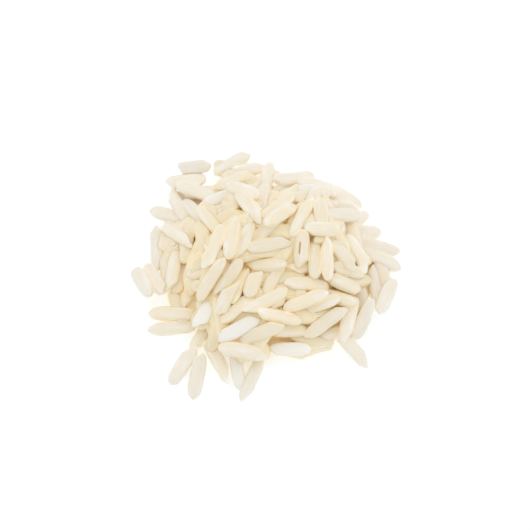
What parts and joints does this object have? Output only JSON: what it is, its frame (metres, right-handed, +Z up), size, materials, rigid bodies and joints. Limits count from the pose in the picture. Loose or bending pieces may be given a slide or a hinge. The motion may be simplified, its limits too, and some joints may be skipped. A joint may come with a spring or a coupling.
{
  "type": "heap of dry long-grain rice",
  "caption": "Small low heap of dry white long-grain rice as it lies on a level surface, with grains lying loose round its uneven edge.",
  "frame": {"origin": "on the surface that the heap lies on, under the middle of its body", "axes": "+Z up out of the surface, -Y towards the viewer of the picture, +X to the viewer's right"},
  "size_m": [0.0396, 0.0402, 0.0097],
  "materials": {
    "rice": "satin, slightly translucent cream white of polished rice"
  },
  "bodies": {
    "root": {"rice_heap": "rice"}
  },
  "joints": []
}
